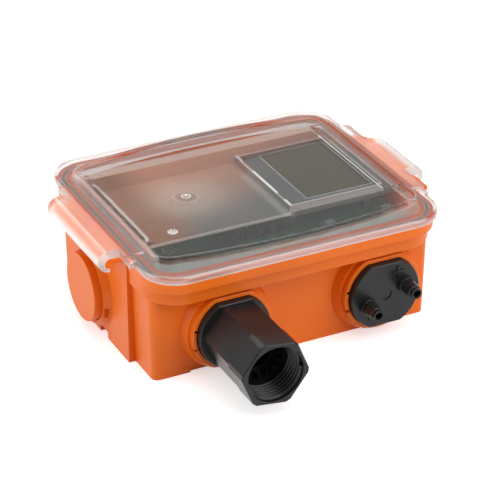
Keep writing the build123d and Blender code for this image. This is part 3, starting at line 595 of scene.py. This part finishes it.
def board_material():
    """Green solder lacquer with fine copper tracks showing through it."""
    material, tree, shader = new_material("Board lacquer")
    put(shader, Specular_IOR_Level=0.08)
    colour = bpy.context.scene.sensor_colours.board
    coords = add_node(tree, "ShaderNodeTexCoord")
    tracks = add_node(tree, "ShaderNodeTexBrick")
    put(tracks, Scale=160.0, Mortar_Size=0.035, Mortar_Smooth=0.3, Brick_Width=1.9, Row_Height=0.32)
    tree.links.new(coords.outputs["Object"], tracks.inputs["Vector"])
    surface = add_group(
        tree, bpy.data.node_groups["Moulded surface"], Colour=rgba(colour), Shade=0.6, Patch_Scale=90.0,
        Roughness=0.35, Roughness_Spread=0.1,
    )
    bright = tuple(min(1.0, value * TRACK_GAIN + TRACK_LIFT) for value in colour)
    painted = mix_colours(tree, tracks.outputs["Fac"], surface.outputs["Colour"], bright)
    tree.links.new(painted, shader.inputs["Base Color"])
    tree.links.new(surface.outputs["Roughness"], shader.inputs["Roughness"])
    return material


def cover_places():
    """The inner cover's corners, its plate's height and the walls around its display, in millimetres."""
    low, high = box_mm("inner_cover")
    frame_low, frame_high = box_mm("lcd_carrier")
    return SimpleNamespace(
        low=low,
        high=high,
        top=high[2],
        plate=box_mm("housing")[1][2] + PLATE_ABOVE_HOUSING,
        left=frame_low[0] - WINDOW_WALL_REACH,
        right=frame_high[0] + WINDOW_WALL_REACH,
        half=frame_high[1] + WINDOW_WALL_REACH,
    )


def window_box(at, grow, bottom, top):
    """The corners of a box around the display window's walls, grown outwards on its four sides."""
    return (at.left - grow, -at.half - grow, bottom), (at.right + grow, at.half + grow, top)


def cover_edge_highlights(tree, at):
    """Painted highlights in a pale colour: along the top of the window's walls, the plate's front edge and
    the bead.
    """
    over = at.top + MARGIN
    walls = box_mask(tree, *window_box(at, WALLS_GROWN, at.plate + WALLS_ABOVE_PLATE, over))
    inside = box_mask(tree, *window_box(at, -RIM_WIDTH, 0, over))
    upper = box_mask(tree, *window_box(at, MARGIN, at.top - RIM_HEIGHT, over))
    rim = times(tree, times(tree, walls, outside(tree, inside)), upper)
    bead_low = (at.low[0], at.low[1], at.plate + BEAD_ABOVE_PLATE)
    bead = box_mask(tree, bead_low, (at.low[0] + BEAD_REACH, at.high[1], at.top), soft=0.15)
    front_low = (at.low[0], at.low[1] - MARGIN, at.plate - EDGE_DEPTH)
    front = box_mask(tree, front_low, (at.left, at.low[1] + EDGE_WIDTH, at.top), soft=0.05)
    return largest(
        tree, times(tree, rim, RIM_SHARE), times(tree, front, EDGE_SHARE), times(tree, bead, BEAD_SHARE)
    )


def cover_marks(tree, at):
    """The rosette with its petals, and the gate mark with its ring."""
    under = at.plate - SKIN
    petals = spot_mask(tree, ROSETTE, radius=2.0, bottom=at.plate + PETALS_ABOVE_PLATE)
    centre = times(tree, spot_mask(tree, ROSETTE, radius=1.2, bottom=under), ROSETTE_SHARE)
    ring_outside = spot_mask(tree, GATE_MARK, radius=1.7, bottom=under)
    ring_inside = spot_mask(tree, GATE_MARK, radius=1.15, bottom=under)
    ring = times(tree, math_node(tree, "SUBTRACT", ring_outside, ring_inside), GATE_RING_SHARE)
    pip = spot_mask(tree, GATE_MARK, radius=0.6, bottom=under)
    return largest(tree, petals, centre, ring, pip)


def cover_haze(tree, at):
    """The plate's tint, warm at the back left and cool at the display, with painted shade towards its left
    edge, its halo, and painted light on its back step.
    """
    coords = add_node(tree, "ShaderNodeTexCoord")
    split = add_node(tree, "ShaderNodeSeparateXYZ")
    tree.links.new(coords.outputs["Object"], split.inputs["Vector"])
    along = times(tree, split.outputs["X"], SLANT_X)
    across = times(tree, split.outputs["Y"], SLANT_Y)
    cool = put(add_node(tree, "ShaderNodeMapRange"), From_Min=SLANT_START, From_Max=SLANT_END)
    tree.links.new(math_node(tree, "SUBTRACT", along, across), cool.inputs["Value"])
    colours = bpy.context.scene.sensor_colours
    warm, cold = tuple(colours.cover_warm), tuple(colours.cover_cool)
    plate = mix_colours(tree, cool.outputs["Result"], warm, cold)
    # Painted shade: the plate darkens to a shaded brown orange towards its left edge
    left_shade = times(tree, box_mask(tree, *LEFT_EDGE, soft=12.0), LEFT_SHADE_SHARE)
    plate = mix_colours(tree, left_shade, plate, LEFT_SHADE_COLOUR)
    centre = (GATE_MARK[0] * MM, GATE_MARK[1] * MM, 0.0)
    halo = add_group(tree, bpy.data.node_groups["Gate halo"], Centre=centre).outputs["Value"]
    plate = mix_colours(tree, times(tree, halo, HALO_SHARE), plate, HALO_COLOUR)
    # Painted light: the back step is paler, to lift it out of the back wall's shadow
    step_high = (at.high[0], at.high[1] + MARGIN, at.plate - EDGE_DEPTH)
    step = box_mask(tree, (at.low[0], PLATE_BACK, 0), step_high, soft=0.3)
    return mix_colours(tree, step, plate, STEP_PAINTED_LIGHT_COLOUR)


def window_fog(tree, at):
    """The milky foot of the window's left wall, and the milky left end and front of its front wall."""
    foot_low = (at.left - FOOT_FOG_LEFT, -at.half - FOOT_FOG_FRONT, at.plate - FOOT_FOG_DOWN)
    foot_high = (at.left + FOOT_FOG_RIGHT, at.half * FOOT_FOG_BACK_SHARE, at.plate + FOOT_FOG_UP)
    foot = box_mask(tree, foot_low, foot_high, soft=3.0)
    wall_low = (at.left - MARGIN, -at.half - WALL_FOG_DEPTH, at.plate - WALL_FOG_DOWN)
    wall_back = -at.half + WALL_FOG_DEPTH
    left_high = (at.left + LEFT_FOG_REACH, wall_back, at.top - LEFT_FOG_BELOW_TOP)
    left_end = box_mask(tree, wall_low, left_high, soft=1.5)
    front_high = (at.right + MARGIN, wall_back, at.top - FRONT_FOG_BELOW_TOP)
    front = box_mask(tree, wall_low, front_high, soft=0.4)
    return largest(
        tree, times(tree, foot, FOOT_FOG_SHARE), times(tree, left_end, LEFT_FOG_SHARE),
        times(tree, front, FRONT_FOG_SHARE),
    )


def cover_material():
    """The inner cover's translucent plastic: hazy plate, clear display window, pale marks, and painted
    highlights along its edges and bead.
    """
    material, tree, shader = new_material("Inner cover")
    put(shader, Specular_IOR_Level=0.05)
    at = cover_places()
    window = box_mask(tree, *window_box(at, -WINDOW_FRAME, WINDOW_BOTTOM, at.top + MARGIN))
    # Painted highlights along the edges and bead, together with the pale marks
    highlights_and_marks = largest(tree, cover_edge_highlights(tree, at), cover_marks(tree, at))
    skirt_high = (at.left, at.low[1] + SKIRT_DEPTH, at.plate - SKIRT_BELOW_PLATE)
    skirt = box_mask(tree, (at.low[0], at.low[1] - MARGIN, 0), skirt_high, soft=0.15)
    colour = mix_colours(tree, window_fog(tree, at), cover_haze(tree, at), FOG_COLOUR)
    colour = mix_colours(tree, skirt, colour, SKIRT_COLOUR)
    tree.links.new(mix_colours(tree, highlights_and_marks, colour, HIGHLIGHT_AND_MARK_COLOUR), shader.inputs["Base Color"])
    alpha = math_node(tree, "MULTIPLY_ADD", window, WINDOW_ALPHA - PLATE_ALPHA, PLATE_ALPHA)
    alpha = math_node(tree, "SUBTRACT", alpha, times(tree, skirt, SKIRT_ALPHA_DROP))
    tree.links.new(math_node(tree, "MAXIMUM", alpha, highlights_and_marks), shader.inputs["Alpha"])
    surface = add_group(
        tree, bpy.data.node_groups["Moulded surface"], Patch_Scale=90.0, Roughness=0.32, Roughness_Spread=0.1,
        Grain_Scale=1800.0,
    )
    tree.links.new(surface.outputs["Roughness"], shader.inputs["Roughness"])
    relief = put(add_node(tree, "ShaderNodeBump"), Strength=0.2, Distance=BUMP_DEPTH)
    frosted = times(tree, surface.outputs["Height"], outside(tree, window))
    tree.links.new(frosted, relief.inputs["Height"])
    tree.links.new(relief.outputs["Normal"], shader.inputs["Normal"])
    return material


def dress(node, material):
    """Gives a CAD node a material in place of its plain one."""
    slots = NODES[node].data.materials
    slots.clear()
    slots.append(material)


# Mesh helpers

def deselect_all():
    for item in bpy.context.selected_objects:
        item.select_set(False)


def edit_all(piece):
    """Goes into edit mode with everything of one piece selected."""
    deselect_all()
    piece.select_set(True)
    bpy.context.view_layer.objects.active = piece
    bpy.ops.object.mode_set(mode="EDIT")
    bpy.ops.mesh.select_all(action="SELECT")


def tidy_normals(piece):
    """Merges doubled points, turns the faces outwards and smooths them."""
    deselect_all()
    piece.select_set(True)
    bpy.context.view_layer.objects.active = piece
    bpy.ops.object.mode_set(mode="EDIT")
    bpy.ops.mesh.select_all(action="SELECT")
    bpy.ops.mesh.remove_doubles(threshold=0.002 * MM)
    bpy.ops.mesh.normals_make_consistent(inside=False)
    bpy.ops.object.mode_set(mode="OBJECT")
    bpy.ops.object.shade_smooth_by_angle(angle=math.radians(35))


def finish_piece(piece, body, material):
    """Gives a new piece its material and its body."""
    piece.data.materials.clear()
    piece.data.materials.append(material)
    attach(piece, body)


def plane_piece(name, low, high, height):
    """A flat piece over a rectangle in millimetres, left in edit mode with everything selected."""
    deselect_all()
    bpy.ops.mesh.primitive_plane_add(size=1.0, location=(0, 0, 0))
    piece = bpy.context.object
    piece.name = name
    edit_all(piece)
    bpy.ops.transform.resize(value=((high[0] - low[0]) * MM, (high[1] - low[1]) * MM, 1))
    middle = ((low[0] + high[0]) / 2 * MM, (low[1] + high[1]) / 2 * MM, height * MM)
    bpy.ops.transform.translate(value=middle)
    return piece


def bar_piece(name, low, high, bevel):
    """A bevelled bar between two corners in millimetres, with its place held in its mesh."""
    piece = plane_piece(name, low, high, low[2])
    rise = (high[2] - low[2]) * MM
    bpy.ops.mesh.extrude_region_move(TRANSFORM_OT_translate={"value": (0, 0, rise)})
    bpy.ops.mesh.select_all(action="SELECT")
    bpy.ops.mesh.bevel(offset=bevel * MM, segments=3, affect="EDGES")
    bpy.ops.object.mode_set(mode="OBJECT")
    tidy_normals(piece)
    return piece


def copy_piece(source, name, offset):
    """A copy with its own mesh, moved by an offset in millimetres."""
    piece = source.copy()
    piece.data = source.data.copy()
    piece.name = name
    bpy.context.scene.collection.objects.link(piece)
    piece.data.transform(Matrix.Translation([value * MM for value in offset]))
    return piece


def join_pieces(pieces, name):
    """One piece made of several."""
    deselect_all()
    for piece in pieces:
        piece.select_set(True)
    bpy.context.view_layer.objects.active = pieces[0]
    bpy.ops.object.join()
    pieces[0].name = name
    return pieces[0]


def hollow_out(piece, border, height):
    """Leaves a border of the flat face that a piece starts as, and raises it."""
    edit_all(piece)
    bpy.ops.mesh.inset(thickness=border * MM)
    bpy.ops.mesh.delete(type="FACE")
    bpy.ops.mesh.select_all(action="SELECT")
    bpy.ops.mesh.extrude_region_move(TRANSFORM_OT_translate={"value": (0, 0, height * MM)})
    bpy.ops.object.mode_set(mode="OBJECT")
    tidy_normals(piece)


def shape_ridge(ridge, wall, settings):
    """Gives the ridge its profile, which stands in from the hole's wall with a narrow crest."""
    foot = settings.pitch * RIDGE_FOOT_SHARE
    crest = foot * RIDGE_CREST_SHARE
    outer = wall + RIDGE_SUNK
    inner = wall - settings.depth
    profile = bmesh.new()
    corners = [(outer, -foot), (inner, -crest), (inner, crest), (outer, foot)]
    profile.faces.new([profile.verts.new((x, 0, z)) for x, z in corners])
    profile.to_mesh(ridge.data)
    profile.free()


# Stage

def add_floor():
    """A pale floor that glows for the camera, so that it fades into the white behind it."""
    deselect_all()
    bpy.ops.mesh.primitive_plane_add(size=FLOOR_SIZE, location=(0, 0, 0))
    floor = bpy.context.object
    floor.name = "floor"
    material, tree, shader = new_material("Pale floor")
    put(shader, Base_Color=(0.8, 0.8, 0.8, 1), Roughness=0.8, Emission_Color=(1, 1, 1, 1))
    rays = add_node(tree, "ShaderNodeLightPath").outputs
    seen = largest(tree, rays["Is Camera Ray"], rays["Is Transmission Ray"], rays["Is Glossy Ray"])
    tree.links.new(times(tree, seen, FLOOR_GLOW), shader.inputs["Emission Strength"])
    floor.data.materials.append(material)


def add_world():
    """A dim world as light, and a white one where the camera looks past the sensor or through its lid."""
    world = bpy.data.worlds.new("Studio")
    bpy.context.scene.world = world
    world.use_nodes = True
    tree = world.node_tree
    rays = add_node(tree, "ShaderNodeLightPath").outputs
    light = put(tree.nodes["Background"], Color=(1, 1, 1, 1))
    strength = math_node(tree, "MULTIPLY_ADD", rays["Is Glossy Ray"], WORLD_GLOSSY_EXTRA, WORLD_LIGHT)
    tree.links.new(strength, light.inputs["Strength"])
    white = put(add_node(tree, "ShaderNodeBackground"), Color=(1, 1, 1, 1))
    behind = math_node(tree, "MULTIPLY_ADD", rays["Is Transmission Ray"], WHITE_LID_DROP, WHITE)
    tree.links.new(behind, white.inputs["Strength"])
    mix = add_node(tree, "ShaderNodeMixShader")
    tree.links.new(largest(tree, rays["Is Camera Ray"], rays["Is Transmission Ray"]), mix.inputs["Fac"])
    tree.links.new(light.outputs["Background"], mix.inputs[1])
    tree.links.new(white.outputs["Background"], mix.inputs[2])
    tree.links.new(mix.outputs["Shader"], tree.nodes["World Output"].inputs["Surface"])


def add_lamp(name, place, size, watts):
    """A square softbox that points at the sensor."""
    lamp = bpy.data.lights.new(name, "AREA")
    lamp.size = size
    lamp.energy = watts
    lamp_object = bpy.data.objects.new(name, lamp)
    bpy.context.scene.collection.objects.link(lamp_object)
    lamp_object.location = place
    lamp_object.rotation_euler = (LAMP_TARGET - Vector(place)).to_track_quat("-Z", "Y").to_euler()


def add_camera(settings):
    """The photograph's view, as a turn around the middle of the back and a sideways shift."""
    azimuth, elevation = settings.azimuth, settings.elevation
    back = Vector((
        math.sin(azimuth) * math.cos(elevation), -math.cos(azimuth) * math.cos(elevation), math.sin(elevation)
    ))
    right = Vector((math.cos(azimuth), math.sin(azimuth), 0))
    up = back.cross(right)
    camera = bpy.data.cameras.new("Camera")
    camera.lens = settings.lens
    camera.sensor_width = 36.0
    camera.clip_end = 20.0
    camera_object = bpy.data.objects.new("Camera", camera)
    bpy.context.scene.collection.objects.link(camera_object)
    turn = Matrix((right, up, back)).transposed().to_4x4()
    place = back * settings.distance + right * settings.slide_right + up * settings.slide_up
    camera_object.matrix_world = Matrix.Translation(place) @ turn
    bpy.context.scene.camera = camera_object


# Operators

class SENSOR_OT_finishes(bpy.types.Operator):
    """Makes the shared node groups and gives each CAD piece its finish"""

    bl_idname = "sensor.finishes"
    bl_label = "Finishes"

    def execute(self, context):
        colours = context.scene.sensor_colours
        build_moulded_group()
        build_box_mask_group()
        build_halo_group()
        orange = moulded_material(
            "Orange housing", colours.housing, shade=0.94, roughness=0.5, bump=0.12, specular=0.1, coat=0.4
        )
        black = moulded_material(
            "Black fittings", colours.fittings, shade=0.7, roughness=0.27, bump=0.15, specular=0.3
        )
        rubber = moulded_material("Seal rubber", colours.seal, roughness=0.6)
        dark = moulded_material("Dark plastic", (0.02, 0.02, 0.022), roughness=0.45)
        carrier = moulded_material("Display frame", (0.05, 0.053, 0.062), roughness=0.4, specular=0.3)
        glass = moulded_material(
            "Display glass", colours.display, shade=0.75, patch=70.0, roughness=0.35, bump=0.0, specular=0.1
        )
        terminal = moulded_material("Terminal plastic", (0.010, 0.013, 0.012), roughness=0.5, specular=0.2)
        button = moulded_material("Button plastic", (0.05, 0.055, 0.055), roughness=0.4)
        lens = moulded_material("Lamp lens", (0.55, 0.6, 0.55), roughness=0.15)
        sensor = moulded_material("Sensor plastic", (0.5, 0.5, 0.47), roughness=0.5)
        hose = moulded_material("Hose silicone", (0.6, 0.6, 0.57), roughness=0.5)
        steel = metal_material("Screw steel", (0.55, 0.55, 0.56), roughness=0.3)
        can = metal_material("Capacitor can", (0.7, 0.7, 0.72), roughness=0.25)
        clear = clear_material("Clear lid", colours.lid, edges=0.36, ior=1.22)
        finishes = (
            (orange, ("housing", "blank_plug")),
            (black, ("conduit_adapter", "adapter_grip_ring", "port_insert")),
            (rubber, ("lid_gasket", "adapter_oring", "port_oring", "plug_oring")),
            (clear, ("lid",)),
            (board_material(), ("circuit_board",)),
            (cover_material(), ("inner_cover",)),
            (carrier, ("lcd_carrier",)),
            (glass, ("lcd_glass",)),
            (dark, ("lcd_connector", "zero_switch", "controller_chip")),
            (terminal, ("terminal_block_supply", "terminal_block_signal")),
            (button, ("zero_button",)),
            (lens, ("status_led",)),
            (sensor, ("sensor_bracket", "pressure_sensor")),
            (hose, ("hose_high", "hose_low")),
            (steel, ("board_screws", "terminal_screws")),
            (can, ("capacitors",)),
        )
        for material, nodes in finishes:
            for node in nodes:
                dress(node, material)
        return {"FINISHED"}


class SENSOR_OT_thread(bpy.types.Operator):
    """Makes the ridge of the conduit thread inside the adapter"""

    bl_idname = "sensor.thread"
    bl_label = "Conduit thread"

    def execute(self, context):
        settings = context.scene.sensor_thread
        mount = MOUNTS["conduit_entry"]
        centre = Vector(mount["pos_m"])
        wall = mount["dims"]["r_mm"] * MM
        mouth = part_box("conduit_adapter")[0][1]
        start = mouth + settings.lead_in
        deselect_all()
        bpy.ops.mesh.primitive_plane_add(
            size=settings.pitch, location=(wall, 0, 0), rotation=(math.pi / 2, 0, 0)
        )
        ridge = bpy.context.object
        ridge.name = "conduit_thread"
        bpy.ops.object.transform_apply(location=True, rotation=True, scale=True)
        shape_ridge(ridge, wall, settings)
        screw = ridge.modifiers.new("Helix", "SCREW")
        screw.axis = "Z"
        screw.angle = 2 * math.pi
        screw.screw_offset = settings.pitch
        screw.iterations = settings.turns
        screw.steps = THREAD_STEPS
        screw.render_steps = THREAD_STEPS
        screw.use_merge_vertices = True
        screw.use_normal_calculate = True
        bpy.ops.object.modifier_apply(modifier=screw.name)
        turn = Matrix.Translation((centre.x, start, centre.z)) @ Matrix.Rotation(-math.pi / 2, 4, "X")
        ridge.data.transform(turn)
        tidy_normals(ridge)
        finish_piece(ridge, "base", bpy.data.materials["Black fittings"])
        return {"FINISHED"}


class SENSOR_OT_display(bpy.types.Operator):
    """Makes the frame around the display glass and the raised ridges on the window over it, painted pale as
    highlights
    """

    bl_idname = "sensor.display"
    bl_label = "Display frame and ridges"

    def execute(self, context):
        low, high = box_mm("lcd_glass")
        bezel = plane_piece("display_bezel", low, high, high[2])
        bpy.ops.object.mode_set(mode="OBJECT")
        hollow_out(bezel, BEZEL_WIDTH, BEZEL_HEIGHT)
        grey = moulded_material("Display bezel", (0.27, 0.28, 0.27), roughness=0.35)
        finish_piece(bezel, "base", grey)
        edge = box_mm("lcd_carrier")[0][0] - WINDOW_WALL_REACH
        top = box_mm("inner_cover")[1][2]
        # Painted highlights: the raised ridges are coloured pale to show the bright lines along the window's
        # left edge
        pale = moulded_material("Cover ridge highlight", (0.62, 0.62, 0.61), roughness=0.3)
        bars = [
            bar_piece(
                "ridge", (edge, start, top - SKIN), (edge + RIDGE_WIDTH, end, top + RIDGE_HEIGHT), RIDGE_BEVEL
            )
            for start, end in RIDGES
        ]
        finish_piece(join_pieces(bars, "display_ridges"), "base", pale)
        return {"FINISHED"}


class SENSOR_OT_board_details(bpy.types.Operator):
    """Makes the printed ring and the small chips along the front of the circuit board"""

    bl_idname = "sensor.board_details"
    bl_label = "Board details"

    def execute(self, context):
        top = box_mm("circuit_board")[1][2]
        deselect_all()
        bpy.ops.mesh.primitive_circle_add(
            vertices=48, radius=PRINT_RADIUS * MM, fill_type="NGON",
            location=(POST_RING[0] * MM, POST_RING[1] * MM, top * MM),
        )
        ring = bpy.context.object
        ring.name = "board_ring"
        bpy.ops.object.transform_apply(location=True, rotation=True, scale=True)
        hollow_out(ring, PRINT_WIDTH, PRINT_HEIGHT)
        print_pale = moulded_material("Board print", (0.38, 0.52, 0.38), roughness=0.6)
        finish_piece(ring, "base", print_pale)
        first = bar_piece("chip", (*CHIP_LOW, top), (*CHIP_HIGH, top + CHIP_HEIGHT), CHIP_BEVEL)
        chips = [first] + [copy_piece(first, "chip", offset) for offset in CHIP_OFFSETS]
        dark = bpy.data.materials["Dark plastic"]
        finish_piece(join_pieces(chips, "board_chips"), "base", dark)
        return {"FINISHED"}


class SENSOR_OT_stage(bpy.types.Operator):
    """Sets up the floor, the lamps, the world and the camera"""

    bl_idname = "sensor.stage"
    bl_label = "Stage"

    def execute(self, context):
        add_floor()
        add_world()
        for name, (place, size, watts) in LAMPS.items():
            add_lamp(name, place, size, watts)
        add_camera(context.scene.sensor_camera)
        context.scene.view_settings.view_transform = "Standard"
        return {"FINISHED"}


# Panel, steps and start

class SENSOR_PT_panel(bpy.types.Panel):
    """Lists the settings and the steps"""

    bl_idname = "SENSOR_PT_panel"
    bl_label = "Differential pressure sensor"
    bl_space_type = "VIEW_3D"
    bl_region_type = "UI"
    bl_category = "Sensor"

    def draw(self, context):
        for group in ("sensor_colours", "sensor_thread", "sensor_camera"):
            box = self.layout.box()
            settings = getattr(context.scene, group)
            for name in settings.bl_rna.properties.keys():
                if name not in ("rna_type", "name"):
                    box.prop(settings, name)
        for step in STEPS:
            self.layout.operator(step.bl_idname)


GROUPS = {"sensor_camera": SensorCamera, "sensor_colours": SensorColours, "sensor_thread": SensorThread}
STEPS = (
    SENSOR_OT_finishes, SENSOR_OT_thread, SENSOR_OT_display, SENSOR_OT_board_details, SENSOR_OT_stage,
)


def register():
    for group, kind in GROUPS.items():
        bpy.utils.register_class(kind)
        setattr(bpy.types.Scene, group, bpy.props.PointerProperty(type=kind))
    for step in STEPS:
        bpy.utils.register_class(step)
    bpy.utils.register_class(SENSOR_PT_panel)


def unregister():
    bpy.utils.unregister_class(SENSOR_PT_panel)
    for step in reversed(STEPS):
        bpy.utils.unregister_class(step)
    for group, kind in GROUPS.items():
        delattr(bpy.types.Scene, group)
        bpy.utils.unregister_class(kind)


def main():
    register()
    deselect_all()
    for step in STEPS:
        family, name = step.bl_idname.split(".")
        getattr(getattr(bpy.ops, family), name)()


if __name__ == "__main__":
    main()
